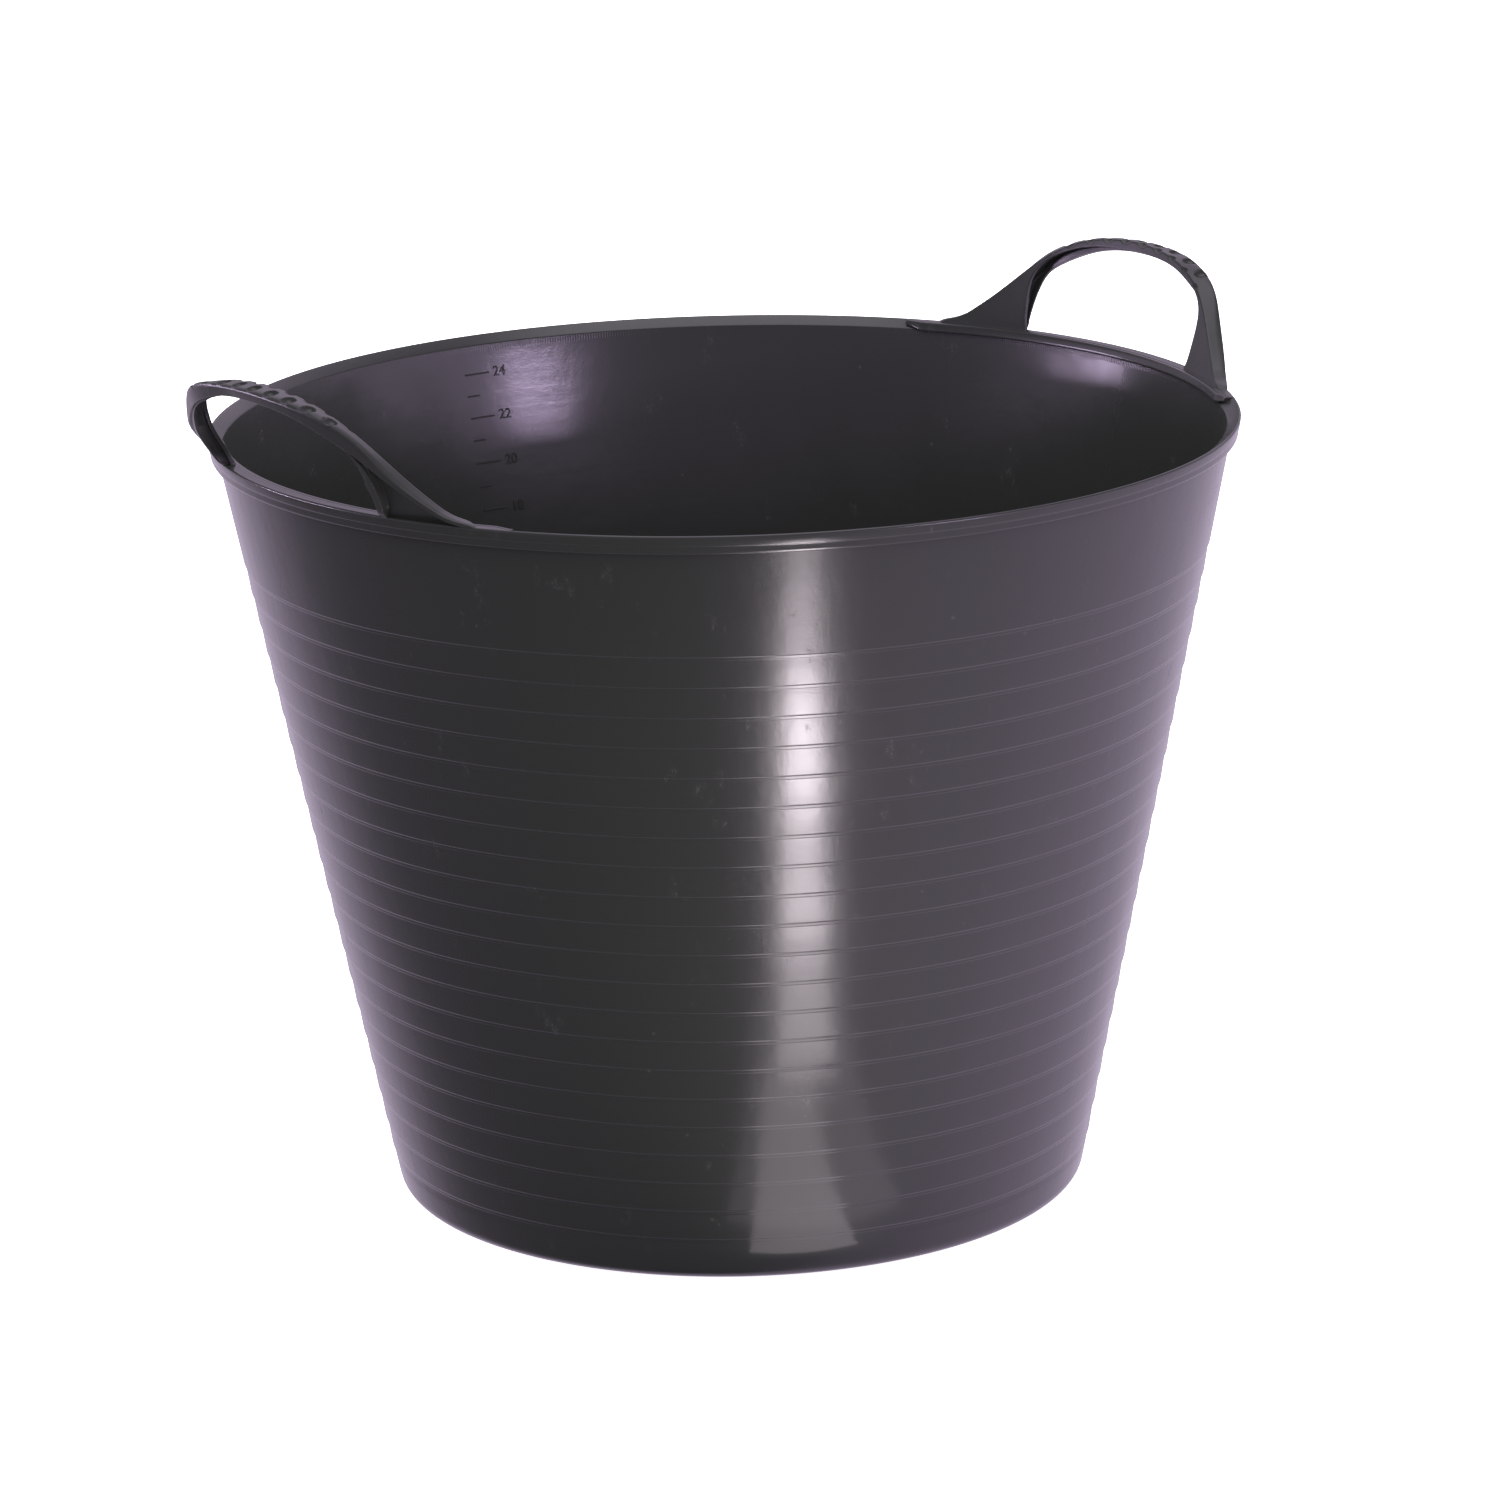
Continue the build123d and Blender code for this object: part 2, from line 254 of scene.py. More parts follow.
def plastic(name, grain=1.0, shine=0.5, rough_base=0.165):
    """Charcoal polyethylene: satin, faintly streaked up the wall, scuffed and dusty in places."""
    material = bpy.data.materials.new(name)
    material.use_nodes = True
    n = Nodes(material.node_tree)
    shader = material.node_tree.nodes["Principled BSDF"]
    shader.inputs["IOR"].default_value = PLASTIC_IOR
    shader.inputs["Specular Tint"].default_value = VIOLET_SHEEN
    shader.inputs["Specular IOR Level"].default_value = shine

    place = n.node("ShaderNodeTexCoord").outputs["Object"]
    split = n.node("ShaderNodeSeparateXYZ")
    n.link(place, split.inputs[0])

    fine = n.noise(place, 900.0, 2.0)
    cloudy = n.noise(place, 22.0, 4.0, 0.6)
    streaks = n.noise(n.scaled(place, (150.0, 150.0, 6.0)), 1.0, 3.0, 0.6)
    hoops = n.noise(n.scaled(place, (6.0, 6.0, 260.0)), 1.0, 3.0, 0.6)
    scuff_place = n.scaled(place, (60.0, 60.0, 38.0), (3.1, 1.7, 0.4))
    scuffs = n.ranged(n.noise(scuff_place, 1.0, 6.0, 0.72), 0.60, 0.72)
    specks = n.node("ShaderNodeTexVoronoi")
    specks.inputs["Scale"].default_value = 95.0
    n.link(place, specks.inputs["Vector"])
    speck = n.ranged(specks.outputs["Distance"], 0.03, 0.10, 1.0, 0.0)
    rare = n.ranged(n.noise(place, 40.0, 1.0), 0.62, 0.66)
    speck = n.math("MULTIPLY", speck, rare)

    worn = n.math("ADD", n.math("MULTIPLY", scuffs, 0.5), speck, clamp=True)
    tone = n.node("ShaderNodeMixRGB")
    tone.inputs["Color1"].default_value = CHARCOAL
    tone.inputs["Color2"].default_value = WORN_GREY
    n.link(n.math("MULTIPLY", worn, 0.6, clamp=True), tone.inputs["Fac"])
    n.link(tone.outputs[0], shader.inputs["Base Color"])

    rough = n.layered(rough_base, [(cloudy, 0.05), (streaks, 0.04), (scuffs, 0.10)])
    n.link(rough, shader.inputs["Roughness"])

    relief = n.math("MULTIPLY", fine, 0.000017 * grain)
    relief = n.layered(relief, [(streaks, 0.00003), (hoops, 0.00002), (cloudy, 0.00025), (scuffs, -0.00002)])
    relief = n.math("ADD", relief, mould_ribs(n, split))
    bump = n.node("ShaderNodeBump")
    bump.inputs["Strength"].default_value = 1.0
    bump.inputs["Distance"].default_value = 1.0
    n.link(relief, bump.inputs["Height"])
    n.link(bump.outputs[0], shader.inputs["Normal"])
    return material


BLACK = plastic("black_plastic")
SATIN = plastic("handle_plastic", 1.0, 0.42, 0.25)
MARKS = plastic("scale_plastic", 0.5, 0.15)


# ---------------------------------------------------------------- base and wall

GATE_RADIUS = 6.0  # the injection point's ring in the middle of the base
GATE_DEPTH = 0.4


def make_base():
    """The lifted disc of the base, with the mould's injection point in its middle."""
    low, high = LIFT, FLOOR_TOP
    mesh = revolved(
        "base_disc",
        [
            (0.01, low + GATE_DEPTH, 0),
            (GATE_RADIUS - 1.5, low + GATE_DEPTH, 0.4),
            (GATE_RADIUS, low, 0.4),
            (FLOOR_EDGE, low, 0),
            (FLOOR_EDGE, high, 0),
            (GATE_RADIUS, high, 0.4),
            (GATE_RADIUS - 1.0, high + GATE_DEPTH, 0.3),
            (2.2, high + GATE_DEPTH, 0.3),
            (1.5, high, 0.2),
            (0.01, high, 0),
        ],
    )
    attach(piece(mesh, BLACK, ["floor"]), "tub")


def make_corner():
    """The standing ring and the rounded corner up to the wall."""
    mesh = revolved(
        "standing_ring",
        [
            (FLOOR_EDGE, LIFT, 0),
            (FLOOR_EDGE + FLOOR_JOIN, 0, 0.8),
            (BASE_RADIUS, 0, CORNER_RADIUS * CORNER_REACH),
            (outer(CORNER_TOP), CORNER_TOP, 0),
            (inner(CORNER_TOP), CORNER_TOP, 0),
            (inner(FLOOR_TOP - LIFT), FLOOR_TOP - LIFT, (CORNER_RADIUS - WALL) * CORNER_REACH),
            (FLOOR_EDGE + FLOOR_JOIN, FLOOR_TOP - LIFT, 0.8),
            (FLOOR_EDGE, FLOOR_TOP, 0),
        ],
        steps=12,
    )
    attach(piece(mesh, BLACK, ["lower_corner"]), "tub")


RING_PITCH = 12.0
LOWEST_RING = 18.0
RING_COUNT = 21
# One ring's outline: height from the ring, distance out from the wall's line, corner radius
RING_STEPS = ((-0.9, -0.22, 0.18), (-0.6, -0.08, 0.12), (0.35, -0.10, 0.15), (0.8, 0.24, 0.25))


def make_wall():
    """The wall, with a small sawtooth step at each ring."""
    corners = [(outer(CORNER_TOP), CORNER_TOP, 0)]
    for ring in range(RING_COUNT):
        z = LOWEST_RING + RING_PITCH * ring
        for up, out, radius in RING_STEPS:
            corners.append((outer(z + up) + out, z + up, radius))
    corners.append((outer(WALL_TOP) + WALL_STEP, WALL_TOP, 0))
    corners.append((inner(WALL_TOP), WALL_TOP, 0))
    corners.append((inner(CORNER_TOP), CORNER_TOP, 0))
    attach(piece(revolved("ringed_side", corners), BLACK, ["ringed_wall"]), "tub")


FLARE_START = 12.0  # below the rim, where the inner face begins to lean out a little more
FLARE_CURVE = 0.0010  # extra lean, per millimetre squared


def inner_flared(z):
    """Radius of the inner face near the rim, where it curves out."""
    return inner(z) + FLARE_CURVE * max(0.0, z - (H - FLARE_START)) ** 2


def make_band():
    """The plain band under the lip, whose inner face begins to flare."""
    heights = [BAND_TOP - 1.0 * i for i in range(6)]
    corners = [(outer(WALL_TOP) + WALL_STEP, WALL_TOP, 0), (outer(BAND_TOP), BAND_TOP, 0)]
    corners += [(inner_flared(z), z, 0) for z in heights]
    corners.append((inner(WALL_TOP), WALL_TOP, 0))
    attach(piece(revolved("upper_band", corners), BLACK, ["plain_band"]), "tub")


def make_lip():
    """The rolled lip: a leaning face, a narrow step under it and a small bead at the bottom."""
    wall = outer(BAND_TOP)
    corners = [
        (wall, BAND_TOP, 0),
        (wall + 0.05, H - 7.15, 0),
        (RIM - 1.45, H - 7.05, 0.4),
        (RIM - 1.00, H - 6.3, 0.5),
        (RIM - 0.85, H - 4.0, 0.2),
        (RIM - 0.55, H - 3.7, 0.2),
        (RIM, H - 0.55, 0.35),
        (RIM - 0.55, H, 0.35),
        (RIM - 1.05, H, 0.35),
        (inner_flared(H - 3.8) + 0.12, H - 3.4, 0.6),
        (inner_flared(H - 3.8), H - 3.9, 0.4),
        (inner_flared(H - 5.5), H - 5.5, 0),
        (inner_flared(BAND_TOP), BAND_TOP, 0),
    ]
    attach(piece(revolved("rolled_lip", corners), BLACK, ["rim_lip"]), "tub")


SEAT_INNER = 192.6
SEAT_HALF_ANGLE = 31.5
SEAT_STEPS = 70  # each way from the middle
SEAT_FADE = 2.6  # degrees over which each end narrows


def make_seat(side, turn):
    """The thicker rim under one handle: a rail along its inner edge, fading out at both ends."""
    rings = []
    for step in range(-SEAT_STEPS, SEAT_STEPS + 1):
        angle = SEAT_HALF_ANGLE * step / SEAT_STEPS
        full = eased((SEAT_HALF_ANGLE - abs(angle)) / SEAT_FADE)
        edge = SEAT_INNER + 2.6 * (1 - full)
        low = H - SEAT_DEPTH * (0.5 + 0.5 * full)
        corners = [
            (edge, low, 0.35),
            (inner_flared(H - SEAT_DEPTH) + 0.6 + 2.0 * (1 - full), low, 0),
            (RIM - 0.9, H - 0.02, 0),
            (edge + 3.0, H - 0.02, 0.3),
            (edge + 2.6, H - 0.35, 0.3),
            (edge + 2.1, H - 0.02, 0.3),
            (edge + 0.9, H - 0.05, 0.9),
            (edge + 0.1, H - 2.6 * (0.5 + 0.5 * full), 0.3),
        ]
        outline = rounded([(Vector((r, z, 0)), radius) for r, z, radius in corners], 4)
        a = radians(turn + angle)
        rings.append([Vector((p.x * cos(a), p.x * sin(a), p.y)) for p in outline])
    mesh = lattice_mesh(f"{side}_seat", rings, False)
    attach(piece(mesh, BLACK, [f"{side}_handle_seat"]), "tub")


# ---------------------------------------------------------------- litre scale

LITRES = range(2, 25)
MARK_START = 88.2
LONG_MARK = 11.2
SHORT_MARK = 5.5
MARK_HEIGHT = 0.7
MARK_DEPTH = 0.35
DIGIT_SIZE = 5.8
DIGIT_GAP = 2.0
MARK_RISE = 1.5  # the photographed marks sit about this much over the computed heights
MM3_PER_LITRE = 1.0e6


def litre_height(litres):
    """Where a volume's mark sits: its height in a cone frustum on the floor, and the rise."""
    at_floor = inner(FLOOR_TOP)
    at_level = (at_floor**3 + 3 * SLOPE * litres * MM3_PER_LITRE / pi) ** (1 / 3)
    return FLOOR_TOP + MARK_RISE + (at_level - at_floor) / SLOPE


def make_scale_lines():
    """The raised marks, long at the even litres."""
    marks = []
    for litres in LITRES:
        z = litre_height(litres)
        arc = (LONG_MARK if litres % 2 == 0 else SHORT_MARK) / inner(z)
        low, high = z - MARK_HEIGHT / 2, z + MARK_HEIGHT / 2
        corners = [
            (inner(low) + 0.02, low, 0),
            (inner(high) + 0.02, high, 0),
            (inner(high) - MARK_DEPTH, high - 0.12, 0.2),
            (inner(low) - MARK_DEPTH, low + 0.12, 0.2),
        ]
        marks.append(revolved("mark", corners, radians(MARK_START) - arc, arc, 12, 3))
    mesh = joined("scale_marks", marks)
    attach(piece(mesh, MARKS, ["litre_scale_lines"], merge=1e-8), "tub")


def number_mesh(text):
    """A number as a thin raised mesh in millimetres, from its lower left corner."""
    curve = bpy.data.curves.new("number", "FONT")
    curve.body = text
    curve.size = DIGIT_SIZE
    curve.extrude = MARK_DEPTH / 2
    curve.bevel_depth = 0.06
    curve.bevel_resolution = 1
    curve.resolution_u = 5
    curve.align_y = "CENTER"
    lettering = bpy.data.objects.new("number", curve)
    bpy.context.scene.collection.objects.link(lettering)
    bpy.context.view_layer.update()
    mesh = bpy.data.meshes.new_from_object(lettering)
    bpy.data.objects.remove(lettering)
    bpy.data.curves.remove(curve)
    return mesh


def make_scale_numbers():
    """The even litres' numbers, wrapped onto the wall and facing the axis."""
    numbers = []
    for litres in LITRES:
        if litres % 2:
            continue
        z = litre_height(litres)
        mesh = number_mesh(str(litres))
        for vertex in mesh.vertices:
            x, y, out = vertex.co
            angle = radians(MARK_START) - (LONG_MARK + DIGIT_GAP + x) / inner(z)
            r = inner(z + y) - out - MARK_DEPTH / 4
            vertex.co = Vector((r * cos(angle), r * sin(angle), z + y)) * MM
        numbers.append(mesh)
    mesh = joined("scale_numbers", numbers)
    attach(piece(mesh, MARKS, ["litre_scale_numbers"], merge=1e-8), "tub")


# ---------------------------------------------------------------- handles

LEAN = radians(14.4)
HANDLE_RADIUS = 198.2
SUNK = 1.6  # how far the feet reach down into the rim
DIMPLE_COUNT = 9
DIMPLE_PITCH = 2.95
# Balls that press the dimples: distance out, height over the bar's top, radius
THUMB_BALL = (2.2, 1.5, 3.5)
FINGER_BALL = (-5.0, 2.0, 4.2)

# Stations down one half of the loop. Each holds, as (degrees, height up the cone): the window's
# inner edge, the loop's inner and outer edges, the flange's lower edge, the rib's back and the
# window's outer edge. Then distances out from the cone: the inner face, the flange's top and
# bottom, the web, the rib's outside, and the pocket's outer and inner walls. Last, how many
# degrees deep the pocket is.
STATIONS = [
    ((0, 38.9), (0, 43.05), (0, 44.3), (0, 39.5), (0, 38.8), (0, 38.6),
     -3.2, 6.0, 5.7, 3.2, 3.2, 0.6, 0.4, 0.0),
    ((3.9, 38.7), (3.9, 42.2), (3.9, 43.8), (3.9, 38.9), (3.9, 38.2), (3.9, 38.0),
     -3.1, 6.0, 5.7, 3.2, 3.2, 0.6, 0.4, 0.0),
    ((7.4, 37.3), (7.2, 40.4), (7.4, 42.6), (7.4, 36.6), (7.4, 36.0), (7.4, 35.7),
     -2.8, 5.9, 5.6, 3.2, 3.2, 0.6, 0.4, 0.0),
    ((10.4, 34.6), (10.3, 37.0), (10.7, 40.0), (10.5, 32.4), (10.5, 32.0), (10.5, 31.5),
     -2.3, 5.6, 5.4, 3.6, 3.6, 0.7, 0.4, 0.0),
    ((12.8, 30.9), (13.1, 32.2), (13.6, 36.1), (12.6, 28.8), (12.6, 28.5), (12.5, 28.2),
     -1.9, 5.3, 5.1, 4.2, 4.2, 1.6, 0.2, 0.0),
    ((14.4, 27.2), (15.1, 27.4), (15.7, 31.2), (14.2, 26.2), (14.1, 25.8), (13.9, 25.4),
     -1.8, 5.1, 4.9, 4.0, 4.5, 2.6, 0.0, 0.0),
    ((15.2, 23.4), (16.6, 23.2), (16.8, 26.0), (15.5, 23.2), (15.1, 22.8), (14.5, 22.6),
     -1.9, 5.0, 4.9, 1.6, 4.7, 3.4, -0.3, 0.12),
    ((15.5, 19.6), (17.9, 19.2), (17.9, 21.0), (17.0, 19.1), (15.9, 18.6), (15.0, 19.0),
     -2.0, 4.9, 4.8, 0.4, 4.8, 3.7, -0.4, 0.4),
    ((15.5, 13.5), (19.9, 13.4), (19.9, 14.6), (19.3, 13.3), (16.5, 12.6), (15.5, 13.2),
     -2.1, 4.5, 4.4, 0.2, 4.7, 3.7, -0.6, 0.8),
    ((15.4, 7.0), (22.3, 6.9), (22.4, 8.2), (21.9, 7.2), (16.6, 6.8), (15.8, 7.0),
     -2.2, 3.6, 3.5, 0.2, 4.2, 3.3, -0.6, 0.8),
    ((15.2, 2.5), (24.5, 2.7), (25.0, 3.5), (24.2, 2.3), (16.5, 2.6), (15.7, 2.5),
     -2.3, 2.8, 2.7, 0.2, 3.4, 2.5, -0.6, 0.8),
    ((15.0, 0.2), (26.4, 0.7), (27.4, 1.0), (25.9, 0.2), (16.4, 0.2), (15.6, 0.2),
     -2.4, 1.8, 1.7, 0.2, 1.9, 1.1, -0.6, 0.8),
    ((15.0, -SUNK), (27.2, -SUNK), (28.6, -SUNK), (26.4, -SUNK), (16.4, -SUNK), (15.6, -SUNK),
     -2.4, 1.6, 1.5, 0.2, 1.6, 0.9, -0.6, 0.8),
]
SPACING = [0, 28, 26, 24, 22, 14, 10, 10, 12, 12, 8, 6, 3]  # steps from the station before

# The left loop has taken a set: its rear leg bows out and up a little, as flexible handles do
REAR_BOW = {"right": 0.0, "left": 4.2}
REAR_LIFT = 0.5  # of the bow
REAR_TUCK = 0.28  # degrees that its foot spreads, per millimetre of the bow

SMOOTHING = 160  # passes that round the loop's outlines between stations
FOOT_ROWS = 14  # left as they are
CROWN = 4.4  # rounding from the top of the loop to its outside
FILLET_STEPS = 6


def flat_numbers(station):
    """A station as one row of numbers."""
    return [x for entry in station for x in (entry if isinstance(entry, tuple) else (entry,))]


def mirrored(row):
    """A station on the loop's other half: its degrees change sign."""
    return [-x if k in range(0, 12, 2) else x for k, x in enumerate(row)]


def between(values, i, t):
    """A smooth curve through a list of number rows, between row i and the next."""
    a = values[max(i - 1, 0)]
    b, c = values[i], values[i + 1]
    d = values[min(i + 2, len(values) - 1)]
    if i == 0:
        a = mirrored(values[1])
    out = []
    for p, q, r, s in zip(a, b, c, d):
        leaving, arriving = (r - p) / 2, (s - q) / 2
        out.append(
            (2 * t**3 - 3 * t**2 + 1) * q + (t**3 - 2 * t**2 + t) * leaving
            + (3 * t**2 - 2 * t**3) * r + (t**3 - t**2) * arriving
        )
    return out


def half_stations():
    """Every station down one half, from the middle of the bar to the foot."""
    rows = [flat_numbers(s) for s in STATIONS]
    made = [rows[0]]
    for i, steps in enumerate(SPACING[1:]):
        made += [between(rows, i, (k + 1) / steps) for k in range(steps)]
    for _ in range(SMOOTHING):
        padded = [mirrored(made[1]), *made]
        for i in range(len(made) - FOOT_ROWS):
            made[i] = [(p + 2 * q + r) / 4 for p, q, r in zip(*padded[i : i + 3])]
    return made


def on_handle(degrees_round, up, out):
    """A point of the +X handle: degrees around, height up the cone, distance out from it."""
    a = radians(degrees_round)
    r = HANDLE_RADIUS + up * sin(LEAN) + out * cos(LEAN)
    return Vector((r * cos(a), r * sin(a), H + up * cos(LEAN) - out * sin(LEAN)))


def spread(start, end, count):
    """Points from start up to but not including end."""
    return [start.lerp(end, k / count) for k in range(count)]


def bowed(degrees_round, up, out, bow):
    """A point of the handle, with its rear leg bowed."""
    rear = bow * eased((-degrees_round - 3) / 10)
    high = eased(up / 18)
    spread_out = REAR_TUCK * rear * (1 - high)
    return on_handle(degrees_round - spread_out, up + REAR_LIFT * rear * high, out + rear * high)


def handle_section(row, sign, bow):
    """The closed section of the loop at one station."""
    places = [(row[i], row[i + 1]) for i in range(0, 12, 2)]
    window_in, edge_in, edge_out, band, rib, window_out = places
    face, top, bottom, web, outside, slot_out, slot_in, deep = row[12:]
    slot_back = (window_in[0] + deep, window_in[1])

    def at(place, out):
        return bowed(sign * place[0], place[1], out, bow)

    corners = [
        (at(window_in, face), 0.35),
        (at(edge_in, face), 0.7),
        (at(edge_out, top), CROWN),
        (at(band, bottom), 0.4),
        (at(band, web), 0.25),
        (at(rib, web), 0.25),
        (at(rib, outside), 0.3),
        (at(window_out, outside), 0.3),
        (at(window_out, slot_out), 0.15),
        (at(slot_back, slot_out), 0.3),
        (at(slot_back, slot_in), 0.3),
        (at(window_in, slot_in), 0.2),
    ]
    fillets = rounded(corners, FILLET_STEPS)
    # long faces get more points, for the dimples
    section = []
    for i in range(0, len(fillets), FILLET_STEPS):
        last = i + FILLET_STEPS
        section += fillets[i:last]
        if i // FILLET_STEPS in (0, 1, 2):
            section += spread(fillets[last - 1], fillets[last], 12)[1:]
    return section


def edge_height(half, column, angle):
    """How far up the cone one of the loop's edges is, at an angle from the bar's middle."""
    for above, below in zip(half, half[1:]):
        if below[column] >= angle:
            t = (angle - above[column]) / max(below[column] - above[column], 1e-6)
            return above[column + 1] * (1 - t) + below[column + 1] * t


def press_dimples(rings, half, bow):
    """Pushes the bar's top out of the balls that shape its thumb and finger dimples."""
    balls = []
    face, top = half[0][12], half[0][13]
    rows = ((DIMPLE_COUNT, THUMB_BALL), (DIMPLE_COUNT + 1, FINGER_BALL))
    for count, (out, over, radius) in rows:
        across = max(0.0, (out - face) / (top - face))
        for k in range(count):
            angle = DIMPLE_PITCH * (k - (count - 1) / 2)
            inside, outside = (edge_height(half, column, abs(angle)) for column in (2, 4))
            up = inside * (1 - across) + outside * across + over
            balls.append((bowed(angle, up, out, bow), radius))
    for ring in rings:
        for i, point in enumerate(ring):
            for ball, radius in balls:
                away = point - ball
                if away.length < radius:
                    ring[i] = ball + away * (radius / max(away.length, 0.01))
                    break


def make_handle(side, turn):
    """One loop: bar, legs with their webs, ribs and pockets, in one piece."""
    half = half_stations()
    bow = REAR_BOW[side]
    rings = [handle_section(row, -1, bow) for row in half[:0:-1]]
    rings += [handle_section(row, 1, bow) for row in half]
    press_dimples(rings, half, bow)
    spin = Matrix.Rotation(radians(turn), 3, "Z")
    rings = [[spin @ p for p in ring] for ring in rings]
    mesh = lattice_mesh(f"{side}_loop_handle", rings, False)
    parts = [f"{side}_handle_{part}" for part in ("grip", "front_foot", "rear_foot")]
    made = piece(mesh, SATIN, parts, merge=2e-6)
    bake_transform(made)


# ---------------------------------------------------------------- studio

CAMERA_PLACE = Vector((-1.3714, -1.9226, 0.8207))
CAMERA_TARGET = Vector((0.00576, -0.00411, 0.1722))
CAMERA_ROLL = -0.0231
LENS = 149.4


def make_camera():
    """A long lens at the photograph's viewing angle."""
    data = bpy.data.cameras.new("camera")
    data.lens = LENS
    data.sensor_width = 36.0
    data.clip_end = 100.0
    camera = bpy.data.objects.new("camera", data)
    bpy.context.scene.collection.objects.link(camera)
    look = (CAMERA_TARGET - CAMERA_PLACE).to_track_quat("-Z", "Y")
    camera.rotation_mode = "QUATERNION"
    camera.rotation_quaternion = look @ Quaternion((0, 0, 1), CAMERA_ROLL)
    camera.location = CAMERA_PLACE
    bpy.context.scene.camera = camera


FRONT = atan2(CAMERA_PLACE.y, CAMERA_PLACE.x)  # the studio's front, where the camera stands


def studio(azimuth, distance, height):
    """A place in the studio: degrees round from the front towards its right, then metres."""
    a = FRONT + radians(azimuth)
    return Vector((distance * cos(a), distance * sin(a), height))


def area_light(name, place, target, width, length, radiance, color, roll=None):
    """A soft panel that faces its target or, with a roll, faces straight up."""
    data = bpy.data.lights.new(name, "AREA")
    data.shape = "RECTANGLE"
    data.size = width
    data.size_y = length
    data.energy = radiance * width * length * pi
    data.color = color
    light = bpy.data.objects.new(name, data)
    bpy.context.scene.collection.objects.link(light)
    light.location = place
    light.rotation_mode = "QUATERNION"
    if roll is None:
        light.rotation_quaternion = (target - place).to_track_quat("-Z", "Y")
    else:
        light.rotation_quaternion = Quaternion((0, 0, 1), roll) @ Quaternion((1, 0, 0), pi)
    light.visible_camera = False


LAVENDER = (1.10, 0.93, 1.22)
WARM_WHITE = (1.04, 1.0, 0.93)

# Brightness around the studio, as reflections see it: degrees from the front towards the right,
# and the level there. Below the horizon, just above it, and high up.
LOW_GLOW = [(-180, 0.85), (-138, 0.85), (-114, 0.22), (-60, 0.12), (-15, 0.10), (14, 0.22), (38, 0.80),
            (75, 1.12), (100, 1.3), (125, 1.05), (150, 0.9), (180, 0.85)]
HIGH_GLOW = [(-180, 0.3), (-128, 0.4), (-105, 1.3), (-85, 1.4), (-62, 0.45), (15, 0.45), (35, 1.0),
             (65, 2.4), (90, 2.0), (115, 0.5), (180, 0.3)]
DOME_GLOW = [(-180, 1.1), (-158, 0.9), (-135, 0.25), (-60, 0.12), (60, 0.15), (120, 0.25),
             (155, 0.7), (180, 1.1)]
GLOW_TOP = 3.2
ZENITH = 2.4
SOFT_LOW, SOFT_HIGH = 0.6, 2.3  # the even light that matt surfaces get, from below and above


def glow_ramp(n, azimuth, stops):
    """A smooth curve of brightness round the studio."""
    ramp = n.node("ShaderNodeValToRGB")
    ramp.color_ramp.interpolation = "B_SPLINE"
    elements = ramp.color_ramp.elements
    while len(elements) < len(stops):
        elements.new(0.5)
    for element, (angle, level) in zip(elements, stops):
        element.position = (angle + 180) / 360
    for element, (angle, level) in zip(elements, stops):
        bright = level / GLOW_TOP
        element.color = (bright, bright, bright, 1.0)
    n.link(azimuth, ramp.inputs[0])
    return ramp.outputs[0]


def make_world():
    """A lavender studio for reflections, and an even neutral light for everything else."""
    world = bpy.data.worlds.new("studio")
    bpy.context.scene.world = world
    world.use_nodes = True
    n = Nodes(world.node_tree)
    background = world.node_tree.nodes["Background"]
    direction = n.node("ShaderNodeTexCoord").outputs["Generated"]
    turned = n.node("ShaderNodeVectorRotate", rotation_type="Z_AXIS")
    turned.inputs["Angle"].default_value = -FRONT
    n.link(direction, turned.inputs["Vector"])
    split = n.node("ShaderNodeSeparateXYZ")
    n.link(turned.outputs[0], split.inputs[0])
    azimuth = n.math("ARCTAN2", split.outputs["Y"], split.outputs["X"])
    azimuth = n.math("ADD", n.math("DIVIDE", azimuth, tau), 0.5)
    low = glow_ramp(n, azimuth, LOW_GLOW)
    high = glow_ramp(n, azimuth, HIGH_GLOW)
    mix = n.node("ShaderNodeMixRGB")
    n.link(n.ranged(split.outputs["Z"], -0.12, 0.08), mix.inputs["Fac"])
    n.link(low, mix.inputs["Color1"])
    n.link(high, mix.inputs["Color2"])
    dome = n.node("ShaderNodeMixRGB")
    n.link(n.ranged(split.outputs["Z"], 0.20, 0.36), dome.inputs["Fac"])
    n.link(mix.outputs[0], dome.inputs["Color1"])
    n.link(glow_ramp(n, azimuth, DOME_GLOW), dome.inputs["Color2"])
    tint = n.node("ShaderNodeMixRGB", blend_type="MULTIPLY")
    tint.inputs["Fac"].default_value = 1.0
    tint.inputs["Color2"].default_value = (*LAVENDER, 1.0)
    n.link(dome.outputs[0], tint.inputs["Color1"])
    over = n.node("ShaderNodeMixRGB")
    over.inputs["Color2"].default_value = (*[ZENITH / GLOW_TOP] * 3, 1.0)
    n.link(n.ranged(split.outputs["Z"], 0.86, 0.96), over.inputs["Fac"])
    n.link(tint.outputs[0], over.inputs["Color1"])
    soft = n.ranged(split.outputs["Z"], -0.1, 0.5, SOFT_LOW / GLOW_TOP, SOFT_HIGH / GLOW_TOP)
    seen = n.node("ShaderNodeMixRGB")
    n.link(n.node("ShaderNodeLightPath").outputs["Is Glossy Ray"], seen.inputs["Fac"])
    n.link(soft, seen.inputs["Color1"])
    n.link(over.outputs[0], seen.inputs["Color2"])
    n.link(seen.outputs[0], background.inputs["Color"])
    background.inputs["Strength"].default_value = GLOW_TOP


FLOOR_REACH = 12.0  # metres each way
FLOOR_DROP = 0.0005  # metres, so that the tub's base stands clear of it


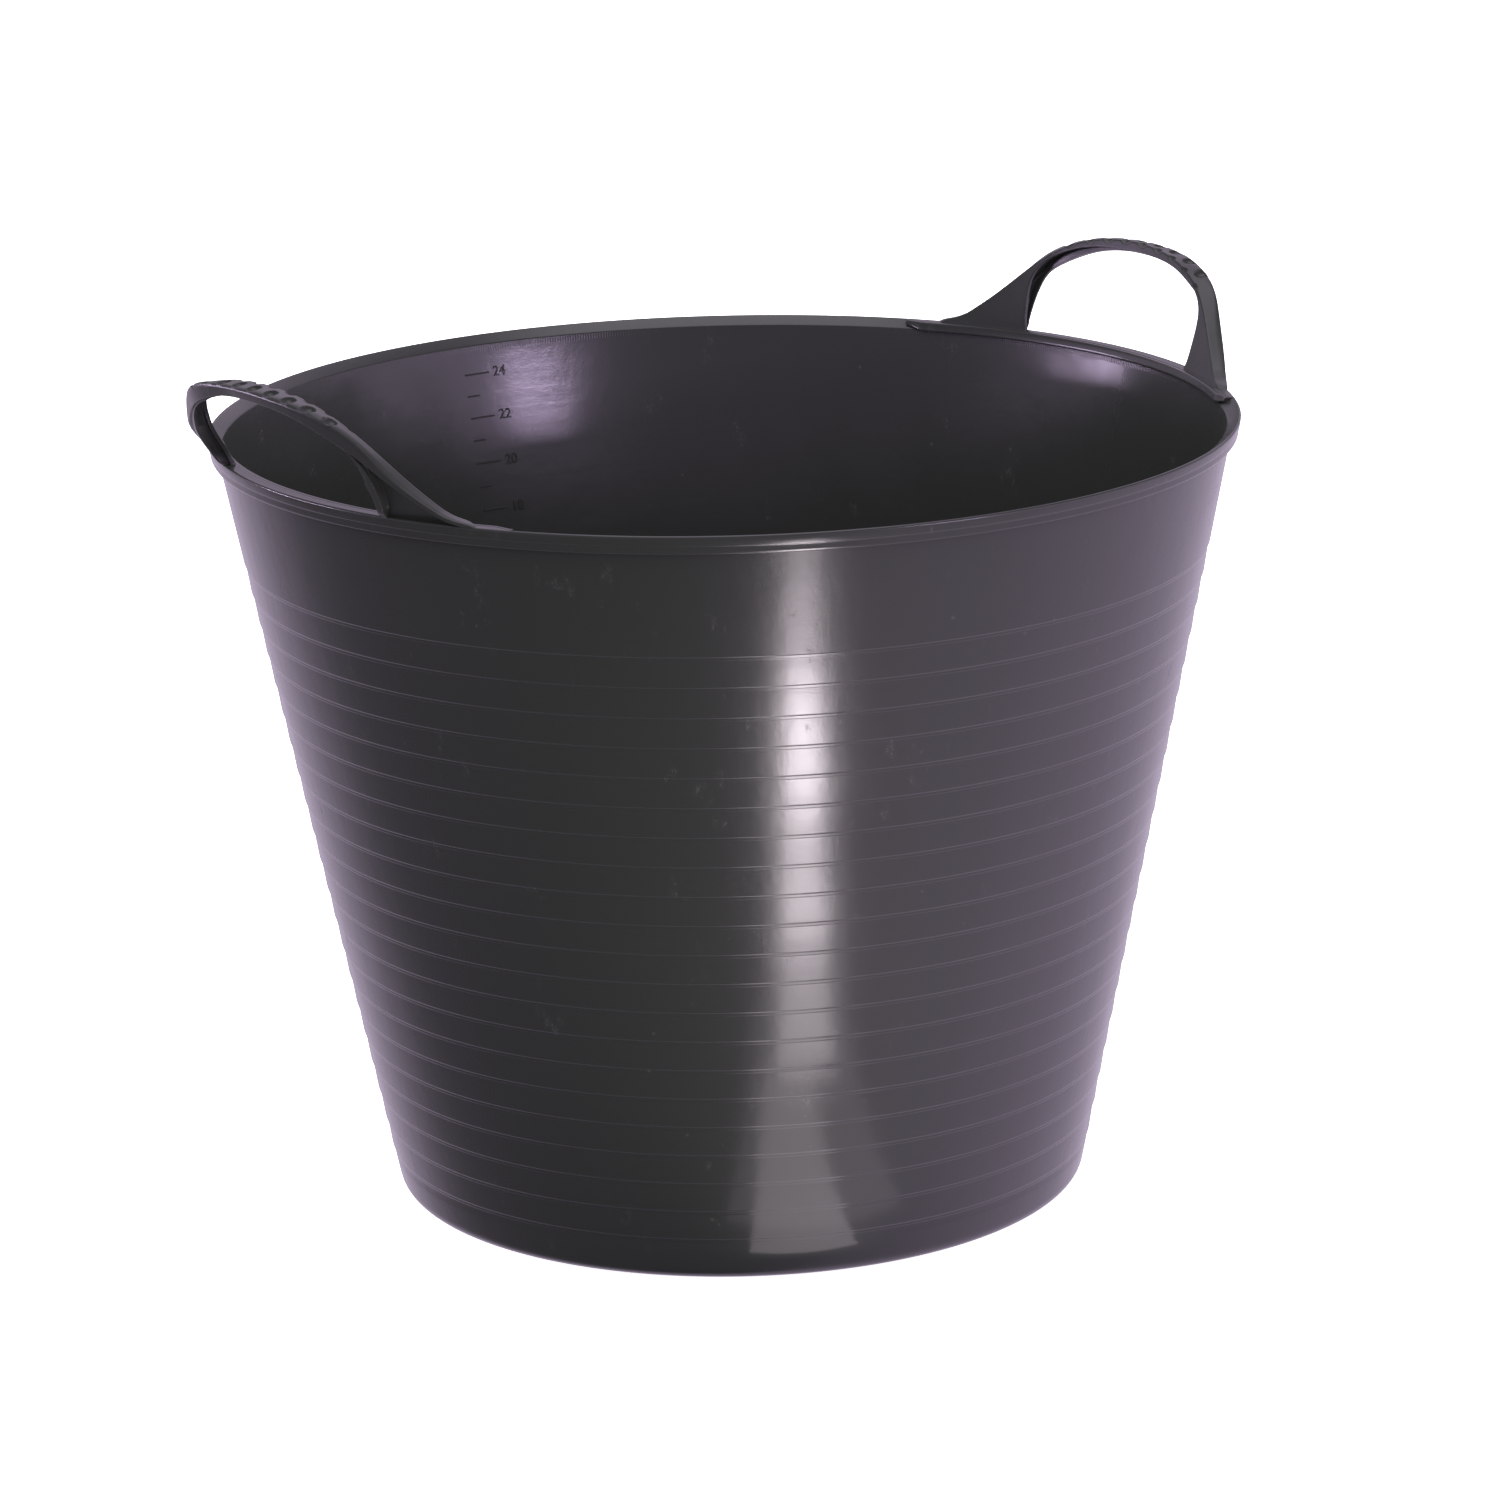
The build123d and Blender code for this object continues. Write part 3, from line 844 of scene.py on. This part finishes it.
def make_floor():
    """A white floor that glows a little, like a light table, and is clear from underneath."""
    mesh = bpy.data.meshes.new("floor_plane")
    signs = ((-1, -1), (1, -1), (1, 1), (-1, 1))
    corners = [(x * FLOOR_REACH, y * FLOOR_REACH, 0) for x, y in signs]
    mesh.from_pydata(corners, [], [(0, 1, 2, 3)])
    material = bpy.data.materials.new("white_floor")
    material.use_nodes = True
    shader = material.node_tree.nodes["Principled BSDF"]
    shader.inputs["Base Color"].default_value = (0.8, 0.8, 0.8, 1.0)
    shader.inputs["Roughness"].default_value = 0.9
    shader.inputs["Emission Color"].default_value = (1.0, 1.0, 1.0, 1.0)
    shader.inputs["Emission Strength"].default_value = 0.9
    n = Nodes(material.node_tree)
    mix = n.node("ShaderNodeMixShader")
    n.link(n.node("ShaderNodeNewGeometry").outputs["Backfacing"], mix.inputs[0])
    n.link(shader.outputs["BSDF"], mix.inputs[1])
    n.link(n.node("ShaderNodeBsdfTransparent").outputs["BSDF"], mix.inputs[2])
    n.link(mix.outputs["Shader"], material.node_tree.nodes["Material Output"].inputs["Surface"])
    mesh.materials.append(material)
    floor = bpy.data.objects.new("floor_plane", mesh)
    bpy.context.scene.collection.objects.link(floor)
    floor.location.z = -FLOOR_DROP
    floor.visible_glossy = False
    floor.visible_diffuse = False
    floor.visible_shadow = False


# Reflector strips just above the floor, from the lowest up: name, degrees round from the front,
# the nearest and furthest distance from the tub's axis, the width, all in metres, and radiance
STRIPS = [
    ("strip_wash", 14.0, 0.16, 0.60, 0.100, 0.9),
    ("strip_mid", 14.8, 0.32, 0.64, 0.060, 15.0),
    ("strip_far", 15.0, 0.395, 0.50, 0.056, 30.0),
    ("strip_near", 14.2, 0.24, 0.35, 0.055, 8.2),
    ("strip_foot", 10.0, 0.14, 0.24, 0.045, 2.5),
]


def make_lights():
    """Long reflector strips on the floor, and low softboxes at the right and the left."""
    up = Vector((0, 0, 1))
    for level, (name, azimuth, near, far, width, radiance) in enumerate(STRIPS):
        place = studio(azimuth, (near + far) / 2, 0.001 + 0.002 * level)
        angle = FRONT + radians(azimuth) + pi / 2
        area_light(name, place, up, width, far - near, radiance, WARM_WHITE, roll=angle)
    middle = Vector((0, 0, 0.30))
    area_light("right_softbox", studio(47.5, 3.0, 0.585), middle, 0.80, 0.17, 66.0, LAVENDER)
    area_light("left_softbox", studio(-100.5, 1.4, 0.353), middle, 0.60, 0.06, 46.0, LAVENDER)


make_base()
make_corner()
make_wall()
make_band()
make_lip()
for side, turn in (("right", 0), ("left", 180)):
    make_seat(side, turn)
    make_handle(side, turn)
make_scale_lines()
make_scale_numbers()
make_camera()
make_world()
make_floor()
make_lights()
bpy.context.scene.view_settings.view_transform = "Standard"
